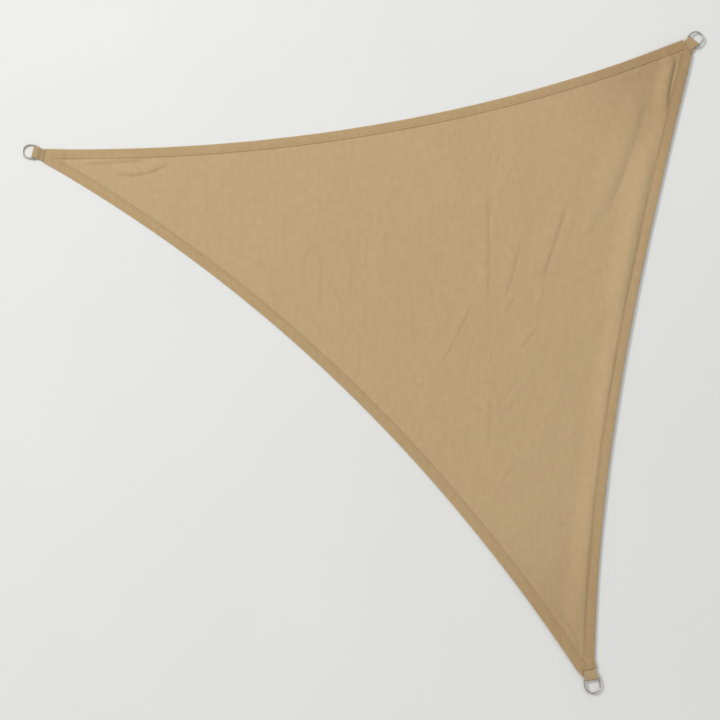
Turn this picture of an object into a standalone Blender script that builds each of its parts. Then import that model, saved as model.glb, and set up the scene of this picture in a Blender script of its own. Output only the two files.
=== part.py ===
"""Triangular shade sail laid out on the ground: one hemmed cloth with hollow-cut edges, and at each
corner a webbing loop that holds a D-ring. Metres, +Z up, origin under the middle of the whole sail."""

from collections import namedtuple
import math

import bpy
from mathutils import Matrix, Vector
from mathutils.geometry import delaunay_2d_cdt

MM = 0.001
GAP = 0.3 * MM  # free air between pieces that touch in the real sail

# Cloth. A hem is two more layers folded over and stitched down.
CLOTH_THICKNESS = 1.2 * MM
HEM_THICKNESS = 2.4 * MM
HEM_WIDTH = 40 * MM
HEM_STEP = 2 * MM  # width over which the hem's folded edge drops to the cloth
PANEL_GRID = 55 * MM
EDGE_PITCH = 45 * MM
FOLD_PITCH = 42 * MM
FOLD_ROWS = ((0, 0), (1, 0), (1, 0.35), (1, 0.65), (1, 1))  # rows of points across a fold: shares of steep and gentle
CLEAR_OF_FOLDS = 0.55  # share of the grid kept free round points that are already set

# Webbing, nominally 50 mm wide.
WEB_WIDTH = 48.4 * MM
WEB_THICKNESS = 1.6 * MM
WEB_UNDER = 56 * MM  # length of each leg sewn under the cloth
PAD_MARGIN = 5 * MM  # level cloth beyond the webbing's edge
PAD_FADE = 34 * MM  # over which the cloth comes down from the webbing
LEG_RISE = 30 * MM  # most length over which the upper leg rises to pass over the wire

# D-ring of 6 mm wire, for 50 mm webbing.
WIRE = 6 * MM
RING_INSIDE = 50.4 * MM
RING_LEG = 25 * MM  # from the bar to the centre of the arc
RING_BEND = 4 * MM
ARC_STEPS = 17
BEND_STEPS = 3
RING_SIDES_HALF_TURN = 15  # degrees, which turns a flat of the 12-sided wire to the crown

# x, y: middle of the webbing where it leaves the cloth. heading: way the webbing points, in degrees.
# turn: how much further the ring points round. reach: webbing that shows. slack: bar to loop's end.
# splay: sideways shift of the upper leg where it leaves the cloth, and of the lower leg the other way.
# lift_in, lift_out: height of the webbing over the ground at its inner end and at the ring.
# droop: how far the ring tips down, in degrees.
Corner = namedtuple("Corner", "x y heading turn reach slack splay lift_in lift_out droop")
CORNERS = {
    "left": Corner(-1.3018, 0.7784, 162, 7, 49.5 * MM, 8 * MM, 0, 0, 0, 1.8),
    "right": Corner(1.3182, 1.2452, 45, 2, 43.0 * MM, 7.5 * MM, 7 * MM, 4 * MM, 7 * MM, 2.5),
    "bottom": Corner(0.8218, -1.2252, -81, -1, 43.5 * MM, 1 * MM, 0, 3 * MM, 6 * MM, 2.5),
}

# An edge runs from start to end, hollowed by sag in its middle; lean moves the deepest place along it.
# lift_start, lift_middle, lift_end: height of the hem over the ground, with the ends' share fading
# over run, as a share of the edge. slope: width over which the cloth comes down inside the hem.
Edge = namedtuple("Edge", "start end sag lean lift_start lift_middle lift_end run slope")
EDGES = {
    "top": Edge((-1.2990, 0.8055), (1.2993, 1.2768), 0.1350, 0.030, 0, 0, 9 * MM, 0.13, 60 * MM),
    "right": Edge((1.3355, 1.2132), (0.8418, -1.1956), 0.0670, 0.340,
                  9 * MM, 8 * MM, 6 * MM, 0.3, 75 * MM),
    "lower": Edge((0.7750, -1.2322), (-1.3072, 0.7511), 0.1704, 0.000,
                  6 * MM, 1 * MM, 0, 0.45, 60 * MM),
}
# The bottom corner's end, from the right edge to the lower one: across the webbing, then down its side.
BOTTOM_END = ((0.8450, -1.2085), (0.8482, -1.2205), (0.8220, -1.2300), (0.7975, -1.2318), (0.7990, -1.2600))

# A fold's foot runs from x0, y0 to x1, y1, bowed to its left by bow. On the foot's right the cloth
# rises to height over the width steep, then falls away over the width gentle.
Fold = namedtuple("Fold", "x0 y0 x1 y1 bow steep gentle height")
FOLDS = (
    Fold(1.160, 1.080, 0.935, 0.485, 0.020, 36 * MM, 85 * MM, 4.8 * MM),
    Fold(1.291, 1.245, 1.224, 0.945, -0.010, 22 * MM, 50 * MM, 11.0 * MM),
    Fold(1.188, 0.870, 0.990, 0.040, 0.000, 38 * MM, 75 * MM, 7.5 * MM),
    Fold(0.990, 0.010, 0.925, -0.270, 0.000, 22 * MM, 45 * MM, 2.5 * MM),
    Fold(0.882, -0.540, 0.804, -1.150, 0.000, 32 * MM, 50 * MM, 3.2 * MM),
    Fold(0.813, 0.590, 0.688, 0.235, 0.000, 14 * MM, 60 * MM, 3.0 * MM),
    Fold(0.616, 0.415, 0.545, 0.175, 0.003, 13 * MM, 50 * MM, 2.4 * MM),
    Fold(0.494, 0.660, 0.483, 0.150, 0.000, 16 * MM, 45 * MM, 2.5 * MM),
    Fold(0.483, -0.180, 0.474, -0.430, 0.000, 15 * MM, 45 * MM, 1.2 * MM),
    Fold(0.420, 0.165, 0.292, -0.090, 0.000, 10 * MM, 40 * MM, 1.6 * MM),
    Fold(0.672, 0.070, 0.590, -0.040, 0.000, 12 * MM, 35 * MM, 1.6 * MM),
    Fold(-0.795, 0.742, -1.035, 0.705, 0.030, 14 * MM, 50 * MM, 4.2 * MM),
    Fold(-0.880, 0.755, -1.175, 0.733, 0.000, 16 * MM, 24 * MM, 4.0 * MM),
    Fold(0.700, -1.010, 0.800, -1.190, 0.022, 14 * MM, 40 * MM, 2.5 * MM),
)
FOLD_TAPER = 0.22  # share of its length over which a fold rises at each end

WOVEN_SAND = ("woven sand polyester", (0.46, 0.34, 0.19), 0.9, 0.0)
SAND_WEBBING = ("sand polyester webbing", (0.42, 0.31, 0.17), 0.8, 0.0)
BRIGHT_STEEL = ("polished stainless steel", (0.62, 0.61, 0.58), 0.22, 1.0)


def clear_scene():
    for old in list(bpy.data.objects):
        bpy.data.objects.remove(old, do_unlink=True)


def material(name, colour, roughness, metallic):
    made = bpy.data.materials.new(name)
    made.use_nodes = True
    shader = made.node_tree.nodes["Principled BSDF"]
    shader.inputs["Base Color"].default_value = (*colour, 1)
    shader.inputs["Roughness"].default_value = roughness
    shader.inputs["Metallic"].default_value = metallic
    return made


def place(name, data, finish):
    data.materials.append(finish)
    made = bpy.data.objects.new(name, data)
    bpy.context.scene.collection.objects.link(made)
    return made


def smooth(value):
    """0 to 1 with level ends, for a value that runs from 0 to 1."""
    value = min(max(value, 0.0), 1.0)
    return value * value * (3 - 2 * value)


def heading_vector(degrees):
    return Vector((math.cos(math.radians(degrees)), math.sin(math.radians(degrees))))


# Edges in plan


def edge_frame(edge):
    """Start, unit way along, unit way inwards and length of the chord; inwards is on its right."""
    start, end = Vector(edge.start), Vector(edge.end)
    along = (end - start).normalized()
    return start, along, Vector((along.y, -along.x)), (end - start).length


def hollow(edge, t):
    """How far the edge lies inside its chord at the share t of its length."""
    return 4 * edge.sag * t * (1 - t) * (1 + edge.lean * (2 * t - 1))


def stretch(edge, t, length):
    """Length of the edge over that of its chord at t."""
    step = 0.001
    return math.hypot(1, (hollow(edge, t + step) - hollow(edge, t - step)) / (2 * step * length))


def edge_point(edge, t, depth=0.0):
    """Point at the share t of the edge and this far inside it."""
    start, along, inwards, length = edge_frame(edge)
    return start + along * (t * length) + inwards * (hollow(edge, t) + depth * stretch(edge, t, length))


def share_and_depth(edge, point):
    start, along, inwards, length = edge_frame(edge)
    t = (point - start).dot(along) / length
    return t, ((point - start).dot(inwards) - hollow(edge, t)) / stretch(edge, t, length)


def depth(point):
    """Distance in from the nearest edge."""
    return min(share_and_depth(edge, point)[1] for edge in EDGES.values())


def mitre(before, after, wanted):
    """Point at one depth inside the end of one edge and the start of the next."""
    point = (Vector(before.end) + Vector(after.start)) / 2
    a, b = edge_frame(before)[2], edge_frame(after)[2]
    cross = a.x * b.y - a.y * b.x
    for _ in range(12):
        first = wanted - share_and_depth(before, point)[1]
        second = wanted - share_and_depth(after, point)[1]
        point = point + Vector((first * b.y - second * a.y, second * a.x - first * b.x)) / cross
    return point


# Heights


def edge_lift(edge, point):
    """Height of the cloth over the ground that the raised hem of one edge gives."""
    t, inside = share_and_depth(edge, point)
    lift = edge.lift_middle
    lift += (edge.lift_start - edge.lift_middle) * smooth(1 - t / edge.run)
    lift += (edge.lift_end - edge.lift_middle) * smooth(1 - (1 - t) / edge.run)
    return lift * smooth(1 - (inside - HEM_WIDTH) / edge.slope)


def fold_height(fold, point):
    start, end = Vector((fold.x0, fold.y0)), Vector((fold.x1, fold.y1))
    along = (end - start).normalized()
    t = (point - start).dot(along) / (end - start).length
    if not 0 < t < 1:
        return 0.0
    from_foot = 4 * fold.bow * t * (1 - t) - (point - start).dot(Vector((-along.y, along.x)))
    if not 0 < from_foot < fold.steep + fold.gentle:
        return 0.0
    ends = smooth(t / FOLD_TAPER) * smooth((1 - t) / FOLD_TAPER)
    rise = 1 - (1 - min(from_foot / fold.steep, 1)) ** 2
    fall = 0.5 + 0.5 * math.cos(math.pi * max(from_foot - fold.steep, 0) / fold.gentle)
    return fold.height * ends * rise * fall


def web_lift(corner, along):
    """Height of the webbing's underside at this distance out from the cloth's end."""
    share = (along + WEB_UNDER) / (corner.reach + WEB_UNDER)
    return corner.lift_in + (corner.lift_out - corner.lift_in) * share


def web_frame(corner, point):
    """Distances of a point along and across the webbing, from where it leaves the cloth."""
    way = heading_vector(corner.heading)
    away = point - Vector((corner.x, corner.y))
    return away.dot(way), away.dot(Vector((-way.y, way.x)))


def pad_half_width(corner):
    return WEB_WIDTH / 2 + abs(corner.splay)


def pad(corner, point):
    """Height of the cloth on the webbing, and how fully the webbing carries it here."""
    along, across = web_frame(corner, point)
    level = web_lift(corner, along) + 2 * WEB_THICKNESS + 2 * GAP
    out = math.hypot(max(-WEB_UNDER - along, 0), max(abs(across) - pad_half_width(corner), 0))
    return level, smooth(1 - (out - PAD_MARGIN) / PAD_FADE)


def underside(point):
    """Height of the cloth's underside: on the ground but for hems, folds and webbing that raise it."""
    lifts = [edge_lift(edge, point) for edge in EDGES.values()]
    height = sum(lift**4 for lift in lifts) ** 0.25
    height = max(height + sum(fold_height(fold, point) for fold in FOLDS), 0.0)
    for corner in CORNERS.values():
        level, share = pad(corner, point)
        height += (level - height) * share
    return height


# Cloth


def rail(edge, inside):
    """Points along an edge at one depth, without those that a neighbouring hem takes."""
    steps = round(edge_frame(edge)[3] / EDGE_PITCH)
    points = [edge_point(edge, i / steps, inside) for i in range(1, steps)]
    return [point for point in points if depth(point) > inside - 0.01 * MM]


def ring_of_rails(inside):
    """Closed line at one depth inside all three edges."""
    edges = list(EDGES.values())
    points = []
    for before, edge in zip([edges[-1]] + edges, edges):
        points.append(mitre(before, edge, inside))
        points += rail(edge, inside)
    return points


def outline():
    top, right, lower = EDGES.values()
    points = [Vector(top.start)] + rail(top, 0) + [Vector(top.end)]
    points += [Vector(right.start)] + rail(right, 0) + [Vector(right.end)]
    points += [Vector(point) for point in BOTTOM_END]
    return points + [Vector(lower.start)] + rail(lower, 0) + [Vector(lower.end)]


def is_inside(point, line):
    crossings = 0
    for a, b in zip(line, line[1:] + line[:1]):
        if (a.y > point.y) != (b.y > point.y):
            crossings += point.x < a.x + (b.x - a.x) * (point.y - a.y) / (b.y - a.y)
    return crossings % 2 == 1


def pad_line(corner):
    """Rectangle of cloth that lies level on the webbing."""
    way = heading_vector(corner.heading)
    side = Vector((-way.y, way.x)) * (pad_half_width(corner) + PAD_MARGIN * 0.6)
    middle, inner = Vector((corner.x, corner.y)), -(WEB_UNDER + PAD_MARGIN * 0.6)
    return [middle + way * 40 * MM - side, middle + way * 40 * MM + side,
            middle + way * inner + side, middle + way * inner - side]


def pad_fade_points(corner):
    """Points round the level rectangle, where the cloth comes down again."""
    way = heading_vector(corner.heading)
    side = Vector((-way.y, way.x))
    middle = Vector((corner.x, corner.y))
    for out in (PAD_MARGIN + PAD_FADE / 2, PAD_MARGIN + PAD_FADE):
        for share in (-1, 0, 1):
            yield middle - way * (WEB_UNDER + out) + side * share * (pad_half_width(corner) + out * 0.7)
        for sign in (-1, 1):
            for back in (0, WEB_UNDER / 2, WEB_UNDER):
                yield middle - way * back + side * sign * (pad_half_width(corner) + out)


def fold_points(fold):
    start, end = Vector((fold.x0, fold.y0)), Vector((fold.x1, fold.y1))
    along = (end - start).normalized()
    side = Vector((-along.y, along.x))
    steps = max(round((end - start).length / FOLD_PITCH), 4)
    for i in range(steps + 1):
        t = i / steps
        for steep, gentle in FOLD_ROWS:
            out = steep * fold.steep + gentle * fold.gentle
            yield start.lerp(end, t) + side * (4 * fold.bow * t * (1 - t) - out)


def slope_points(edge):
    """Rows of points down the cloth inside a raised hem."""
    steps = round(edge_frame(edge)[3] / EDGE_PITCH)
    for share in (0.25, 0.5, 0.75, 1.0):
        for i in range(1, steps):
            yield edge_point(edge, (i + 0.5 * (share in (0.25, 0.75))) / steps,
                             HEM_WIDTH + share * edge.slope)


def grid_points():
    rows = round(2.7 / (PANEL_GRID * math.sqrt(0.75)))
    columns = round(2.8 / PANEL_GRID)
    for row in range(rows):
        for column in range(columns):
            yield Vector((-1.4 + (column + 0.5 * (row % 2)) * PANEL_GRID,
                          -1.35 + row * PANEL_GRID * math.sqrt(0.75)))


def inner_points():
    """Points inside the hems: the folds' first, then a grid that fills the room between them."""
    chosen = []

    def add(points, spacing):
        for point in points:
            if depth(point) > HEM_WIDTH + HEM_STEP + 6 * MM:
                if all((point - other).length > spacing for other in chosen):
                    chosen.append(point)

    for corner in CORNERS.values():
        add(pad_fade_points(corner), 8 * MM)
    for fold in FOLDS:
        add(fold_points(fold), 8 * MM)
    for edge in EDGES.values():
        add(slope_points(edge), 12 * MM)
    add(grid_points(), CLEAR_OF_FOLDS * PANEL_GRID)
    return chosen


def panel_triangles():
    """The cloth in plan: its points, and triangles that keep the outline and the hems' folded edges."""
    border = outline()
    lines = [border, ring_of_rails(HEM_WIDTH), ring_of_rails(HEM_WIDTH + HEM_STEP)]
    lines += [pad_line(corner) for corner in CORNERS.values()]
    points, joins = [], []
    for line in lines:
        first = len(points)
        joins += [(first + i, first + (i + 1) % len(line)) for i in range(len(line))]
        points += line
    points += inner_points()
    made = delaunay_2d_cdt(points, joins, [], 1, 0.01 * MM)
    triangles = []
    for face in made[2]:
        a, b, c = (made[0][i] for i in face)
        if is_inside((a + b + c) / 3, border):
            turns_left = (b - a).cross(c - a) > 0
            triangles.append(tuple(face) if turns_left else tuple(reversed(face)))
    return made[0], triangles


def build_panel(finish):
    """The cloth as one closed sheet, thicker along its hems."""
    points, triangles = panel_triangles()
    used = sorted({i for face in triangles for i in face})
    place_of = {old: new for new, old in enumerate(used)}
    top, bottom = [], []
    for i in used:
        point = points[i]
        height = underside(point)
        is_hem = depth(point) < HEM_WIDTH + 0.1 * HEM_STEP
        bottom.append((point.x, point.y, height))
        top.append((point.x, point.y, height + (HEM_THICKNESS if is_hem else CLOTH_THICKNESS)))
    count = len(used)
    upper = [tuple(place_of[i] for i in face) for face in triangles]
    lower = [tuple(count + i for i in reversed(face)) for face in upper]
    sides = {(face[k], face[(k + 1) % 3]) for face in upper for k in range(3)}
    walls = [(b, a, count + a, count + b) for a, b in sides if (b, a) not in sides]
    data = bpy.data.meshes.new("sail_panel")
    data.from_pydata(top + bottom, [], upper + lower + sorted(walls))
    data.validate()
    data.update()
    return place("sail_panel", data, finish)


# Webbing


def bar_behind(corner):
    """Distance from the bar's middle to the outer end of the loop that holds it."""
    return WEB_THICKNESS + GAP + WIRE / 2 + corner.slack


def web_profile(corner):
    """Middle line of the loop's strip, as distance out and height over its underside."""
    half = WEB_THICKNESS / 2
    eye = WIRE / 2 + GAP + half  # radius of the strip's middle line round the wire
    low, high, top = half, 3 * half + GAP, 2 * eye + half
    fold = corner.reach - eye - half
    rise_end = corner.reach - bar_behind(corner) - WIRE
    rise_start = max(rise_end - LEG_RISE, 8 * MM)
    line = [(-WEB_UNDER, high), (-WEB_UNDER / 2, high), (0, high)]
    for i in range(9):
        share = i / 8
        line.append((rise_start + (rise_end - rise_start) * share, high + (top - high) * smooth(share)))
    for i in range(11):
        turn = math.pi * (0.5 - i / 10)
        line.append((fold + eye * math.cos(turn), eye + half + eye * math.sin(turn)))
    return line + [(rise_end, low), (rise_start, low), (0, low), (-WEB_UNDER / 2, low), (-WEB_UNDER, low)]


def strip_normals(line):
    """Unit way out of the strip at each point, square to the run from the point before to the next."""
    for i in range(len(line)):
        before, after = line[max(i - 1, 0)], line[min(i + 1, len(line) - 1)]
        run = Vector((after[0] - before[0], after[1] - before[1])).normalized()
        yield Vector((-run.y, run.x))


def build_loop(name, corner, finish):
    """Webbing folded round the ring's bar, its two legs sewn together under the cloth."""
    way = heading_vector(corner.heading)
    line = web_profile(corner)
    straight = corner.reach - bar_behind(corner) - WIRE  # length before the loop opens for the wire
    points = []
    for i, ((along, height), out) in enumerate(zip(line, strip_normals(line))):
        side = heading_vector(corner.heading + corner.turn * smooth(along / straight) + 90)
        leg = 1 if i < len(line) / 2 else -1
        shift = leg * corner.splay * min(max(1 - along / straight, 0), 1)
        for face, edge in ((1, -1), (1, 1), (-1, 1), (-1, -1)):
            reach = along + face * out.x * WEB_THICKNESS / 2
            plan = Vector((corner.x, corner.y)) + way * reach + side * (edge * WEB_WIDTH / 2 + shift)
            rise = web_lift(corner, along) + height + face * out.y * WEB_THICKNESS / 2
            points.append((plan.x, plan.y, rise))
    faces = [(0, 1, 2, 3)]
    for i in range(len(line) - 1):
        first = 4 * i
        faces += [(first + k, first + 4 + k, first + 4 + (k + 1) % 4, first + (k + 1) % 4)
                  for k in range(4)]
    last = 4 * (len(line) - 1)
    faces.append((last + 3, last + 2, last + 1, last))
    data = bpy.data.meshes.new(name)
    data.from_pydata(points, [], faces)
    data.shade_smooth()
    data.set_sharp_from_angle(angle=math.radians(35))
    return place(name, data, finish)


# Rings


def build_ring(name, corner, finish):
    """D-ring bent from round wire, its straight bar inside the webbing's fold."""
    half = RING_INSIDE / 2 + WIRE / 2
    inner = half - RING_BEND
    bend = [(RING_BEND * (1 - math.cos(a)), inner + RING_BEND * math.sin(a))
            for a in (math.pi / 2 * i / BEND_STEPS for i in range(BEND_STEPS + 1))]
    arc = [(RING_LEG + half * math.sin(a), half * math.cos(a))
           for a in (math.pi * i / ARC_STEPS for i in range(ARC_STEPS + 1))]
    line = bend + arc + [(x, -y) for x, y in reversed(bend)]
    data = bpy.data.curves.new(name, "CURVE")
    data.dimensions = "3D"
    data.bevel_depth = WIRE / 2
    data.bevel_resolution = 4
    data.twist_mode = "Z_UP"
    wire = data.splines.new("POLY")
    wire.points.add(len(line) - 1)
    for point, (x, y) in zip(wire.points, line):
        point.co = (x, y, 0, 1)
        point.tilt = math.radians(RING_SIDES_HALF_TURN)
    wire.use_cyclic_u = True
    wire.use_smooth = True
    made = place(name, data, finish)
    behind = bar_behind(corner)
    cross = Vector((corner.x, corner.y)) + heading_vector(corner.heading) * (corner.reach - behind / 2)
    bar = cross - heading_vector(corner.heading + corner.turn) * behind / 2
    height = web_lift(corner, corner.reach - behind) + WEB_THICKNESS + GAP + WIRE / 2
    made.matrix_world = (
        Matrix.Translation((bar.x, bar.y, height))
        @ Matrix.Rotation(math.radians(corner.heading + corner.turn), 4, "Z")
        @ Matrix.Rotation(math.radians(corner.droop), 4, "Y")
    )
    return made


def main():
    clear_scene()
    cloth, webbing, steel = material(*WOVEN_SAND), material(*SAND_WEBBING), material(*BRIGHT_STEEL)
    build_panel(cloth)
    for name, corner in CORNERS.items():
        build_loop(f"corner_loop_{name}", corner, webbing)
        build_ring(f"d_ring_{name}", corner, steel)


main()
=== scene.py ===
"""Gives a triangular shade sail its looks: hemmed and creased cloth, sewn webbing corners, bright
steel D-rings, the pale floor it lies on and soft studio light. Metres, +Z up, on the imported
model's own frame."""
from collections import namedtuple
import math

import bpy
from bpy.props import FloatProperty, FloatVectorProperty, IntProperty, PointerProperty
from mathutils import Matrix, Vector
from mathutils.geometry import delaunay_2d_cdt
import numpy as np


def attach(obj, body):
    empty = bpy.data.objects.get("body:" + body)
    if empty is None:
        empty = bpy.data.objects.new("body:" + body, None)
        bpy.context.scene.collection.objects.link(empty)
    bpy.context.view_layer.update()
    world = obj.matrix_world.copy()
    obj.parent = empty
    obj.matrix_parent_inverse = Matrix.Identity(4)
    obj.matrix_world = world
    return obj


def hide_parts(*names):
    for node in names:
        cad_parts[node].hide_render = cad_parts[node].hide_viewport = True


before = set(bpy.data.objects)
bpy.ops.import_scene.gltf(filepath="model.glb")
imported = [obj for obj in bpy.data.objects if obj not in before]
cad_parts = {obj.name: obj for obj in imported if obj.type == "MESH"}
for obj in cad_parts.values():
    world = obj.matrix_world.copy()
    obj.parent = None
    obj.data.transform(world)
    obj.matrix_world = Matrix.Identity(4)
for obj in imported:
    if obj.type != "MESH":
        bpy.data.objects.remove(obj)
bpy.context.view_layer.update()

bl_info = {
    "name": "Shade Sail",
    "version": (1, 0, 0),
    "blender": (4, 5, 0),
    "location": "View3D > Sidebar > Shade Sail",
    "description": "Builds a laid-out shade sail with its hems, webbing, rings and stitching",
    "category": "Add Mesh",
}

MM = 0.001
GAP = 0.3 * MM  # free air between pieces that touch in the real sail
PAD_MARGIN = 5 * MM  # level cloth beyond the webbing's edge
PAD_FADE = 34 * MM  # over which the cloth comes down from the webbing
LEG_RISE = 30 * MM  # most length over which the upper leg rises to pass over the wire
LEG_LEVEL = 8 * MM  # least length of the upper leg that stays level outside the cloth

# x, y: middle of the webbing where it leaves the cloth. heading: way the webbing points, in
# degrees. turn: how much further the ring points round. reach: webbing that shows. slack: from the
# bar to the loop's end. splay: sideways shift of the upper leg where it leaves the cloth, and of
# the lower leg the other way. lift_in, lift_out: height of the webbing over the ground at its inner
# end and at the ring. droop: how far the ring tips down, in degrees.
Corner = namedtuple("Corner", "x y heading turn reach slack splay lift_in lift_out droop")
CORNERS = {
    "left": Corner(-1.3018, 0.7784, 162, 7, 49.5 * MM, 8 * MM, 0, 0, 0, 1.8),
    "right": Corner(1.3182, 1.2452, 45, 2, 43.0 * MM, 7.5 * MM, 7 * MM, 4 * MM, 7 * MM, 2.5),
    "bottom": Corner(0.8218, -1.2252, -81, -1, 43.5 * MM, 1 * MM, 0, 3 * MM, 6 * MM, 2.5),
}

# An edge runs from start to end, hollowed by sag in its middle; lean moves its deepest place along.
# lift_start, lift_middle, lift_end: height of the hem over the ground, with the ends' share fading
# over run, as a share of the edge. slope: width over which the cloth comes down inside the hem.
# seam_start, seam_middle, seam_end: how dark the shade painted along the hem's inner line is, at
# its start, middle and end. under: the edges whose hems hide this one's line where they cross.
Edge = namedtuple("Edge", "start end sag lean lift_start lift_middle lift_end run slope "
                          "seam_start seam_middle seam_end under")
EDGES = {
    "top": Edge((-1.2990, 0.8055), (1.2993, 1.2768), 0.1350, 0.030,
                0, 0, 9 * MM, 0.13, 60 * MM, 0.2, 0.26, 0.33, ("right", "lower")),
    "right": Edge((1.3355, 1.2132), (0.8418, -1.1956), 0.0670, 0.340,
                  9 * MM, 8 * MM, 6 * MM, 0.3, 75 * MM, 0.45, 0.5, 0.45, ("top",)),
    "lower": Edge((0.7750, -1.2322), (-1.3072, 0.7511), 0.1704, 0.000,
                  6 * MM, 1 * MM, 0, 0.45, 60 * MM, 0.05, 0.34, 0.26, ("right", "top")),
}
# The bottom corner's end, from the right edge to the lower: across the webbing, then down its side.
BOTTOM_END = ((0.8450, -1.2085), (0.8482, -1.2205), (0.8220, -1.2300), (0.7975, -1.2318),
              (0.7990, -1.2600))
SEAM_RUN = 0.16  # share of an edge over which its painted seam shade's start and end strengths fade

# A fold's foot runs from x0, y0 to x1, y1, bowed to its left by bow. On the foot's right the cloth
# rises to height over the width steep, then falls away over the width gentle. The rows below give
# these last three in millimetres.
Fold = namedtuple("Fold", "x0 y0 x1 y1 bow steep gentle height")


def folds(*rows):
    return tuple(Fold(*row[:5], *(value * MM for value in row[5:])) for row in rows)


FOLDS = folds(
    (1.160, 1.080, 0.935, 0.485, 0.020, 36, 85, 4.8),
    (1.291, 1.245, 1.224, 0.945, -0.010, 22, 50, 11.0),
    (1.188, 0.870, 0.990, 0.040, 0, 38, 75, 7.5),
    (0.990, 0.010, 0.925, -0.270, 0, 22, 45, 2.5),
    (0.882, -0.540, 0.804, -1.150, 0, 32, 50, 3.2),
    (0.813, 0.590, 0.688, 0.235, 0, 14, 60, 3.0),
    (0.616, 0.415, 0.545, 0.175, 0.003, 13, 50, 2.4),
    (0.494, 0.660, 0.483, 0.150, 0, 16, 45, 2.5),
    (0.483, -0.180, 0.474, -0.430, 0, 15, 45, 1.2),
    (0.420, 0.165, 0.292, -0.090, 0, 10, 40, 1.6),
    (0.672, 0.070, 0.590, -0.040, 0, 12, 35, 1.6),
    (-0.795, 0.742, -1.035, 0.705, 0.030, 14, 50, 4.2),
    (-0.880, 0.755, -1.175, 0.733, 0, 16, 24, 4.0),
    (0.700, -1.010, 0.800, -1.190, 0.022, 14, 40, 2.5),
)
FOLD_TAPER = 0.22  # share of its length over which a fold rises at each end
FOLD_DIP = 0.2  # depth of the dip along a fold's foot, as a share of its height

# Smaller creases, which the solid leaves out.
CREASES = folds(
    (0.940, 0.560, 0.888, 0.430, 0, 20, 40, 1.5),
    (0.706, 0.245, 0.682, 0.152, 0, 8, 25, 1.3),
    (0.832, 0.520, 0.786, 0.365, 0, 10, 30, 1.1),
    (0.590, 0.195, 0.540, 0.122, 0, 9, 30, 1.2),
    (0.488, 0.405, 0.493, 0.535, 0, 7, 25, 0.9),
    (0.478, 0.125, 0.479, -0.020, 0, 7, 25, 1.0),
    (0.467, -0.130, 0.472, -0.002, 0, 6, 30, 1.0),
    (0.512, -0.265, 0.577, -0.160, 0, 9, 30, 1.1),
    (0.505, 0.800, 0.503, 0.725, 0, 6, 16, 0.6),
    (0.554, 0.818, 0.512, 0.722, 0, 7, 20, 0.7),
    (0.586, 0.745, 0.574, 0.668, 0, 7, 20, 0.8),
    (0.574, -0.450, 0.505, -0.545, 0.010, 12, 40, 1.1),
    (0.768, -0.860, 0.787, -1.130, 0.010, 14, 40, 1.3),
    (0.716, -1.075, 0.780, -1.160, 0.006, 9, 30, 1.3),
    (-0.254, 0.715, -0.217, 0.552, 0, 16, 40, 1.0),
    (0.081, 0.485, 0.079, 0.380, 0, 10, 25, 0.9),
    (0.004, 0.445, -0.001, 0.300, 0, 10, 30, 1.0),
    (-0.180, 0.385, -0.178, 0.155, 0, 12, 35, 1.1),
    (-0.055, 0.320, -0.065, 0.195, 0, 9, 25, 0.8),
    (0.072, 0.297, 0.044, 0.240, 0, 8, 20, 0.7),
    (-0.001, 0.155, -0.009, 0.055, 0, 10, 30, 1.0),
    (-0.028, 0.035, -0.040, -0.165, 0.006, 10, 30, 1.1),
    (0.278, 0.395, 0.279, 0.225, 0, 9, 25, 0.8),
    (-0.497, 0.580, -0.486, 0.410, 0, 12, 30, 0.9),
    (-0.634, 0.700, -0.640, 0.510, 0, 12, 35, 0.8),
    (-0.330, 0.540, -0.322, 0.410, 0, 10, 30, 0.8),
    (0.276, 0.600, 0.269, 0.515, 0, 8, 20, 0.6),
    (0.176, 0.230, 0.182, 0.045, 0, 9, 25, 0.7),
    (0.632, -0.365, 0.642, -0.485, 0, 10, 25, 0.8),
    (0.740, -0.335, 0.808, -0.385, 0.004, 9, 22, 0.7),
    (1.150, 1.180, 1.104, 1.110, 0, 9, 25, 0.9),
)

# Crumples over the whole cloth, as random swells of a size across and a size along the warp.
Swell = namedtuple("Swell", "across along height seed")
SWELLS = (
    Swell(44 * MM, 120 * MM, 0.80 * MM, 11),
    Swell(110 * MM, 90 * MM, 0.70 * MM, 12),
    Swell(24 * MM, 46 * MM, 0.26 * MM, 13),
    Swell(14 * MM, 20 * MM, 0.07 * MM, 14),
)
SWELL_BASE = 0.9 * MM  # raises the cloth, so that its swells clear the ground
SWELL_AT_HEM = 0.35  # share of the swells that reaches the stiffer hems
# Small puckers along the hems' stitching.
PUCKER = Swell(16 * MM, 16 * MM, 0.35 * MM, 21)

# The hem's section in millimetres: depth in from the edge, and what its two folded layers add to the
# cloth there. They puff out between the outer fold and the stitching, which pulls them down again.
HEM_SECTION = (
    (0, 0.5), (0.8, 1.1), (4, 1.5), (18, 1.7), (30, 1.3), (33, 0.7), (35, 1.3), (37.5, 1.8),
    (39.4, 1.7), (40.6, 0), (42.5, -0.25), (52, 0),
)

# Rows of points along the hems, as depths in from the edge. Those within 1 mm of the hem's width
# carry the folded edge.
HEM_ROWS = [row * MM for row in (0.8, 4, 10, 18, 26, 30, 31.8, 33, 34.2, 37.5)]
INNER_ROWS = [row * MM for row in (-0.6, 0.6, 2.5, 7, 14, 22)]  # the same, in from the hem's width
FOLD_ROWS = (-0.4, 0, 0.35, 0.7, 1.05)  # rows of points along a fold's foot, in shares of steep

# Painted shade in the gap where the cloth ends on the webbing: from, to, and how dark it is.
END_SEAM_SHADES = (
    ((-1.2990, 0.8055), (-1.3072, 0.7511), 0.9),
    ((1.2993, 1.2768), (1.3355, 1.2132), 0.15),
    ((0.8482, -1.2205), (0.8220, -1.2300), 0.06),
    ((0.8220, -1.2300), (0.7975, -1.2318), 0.04),
)
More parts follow.
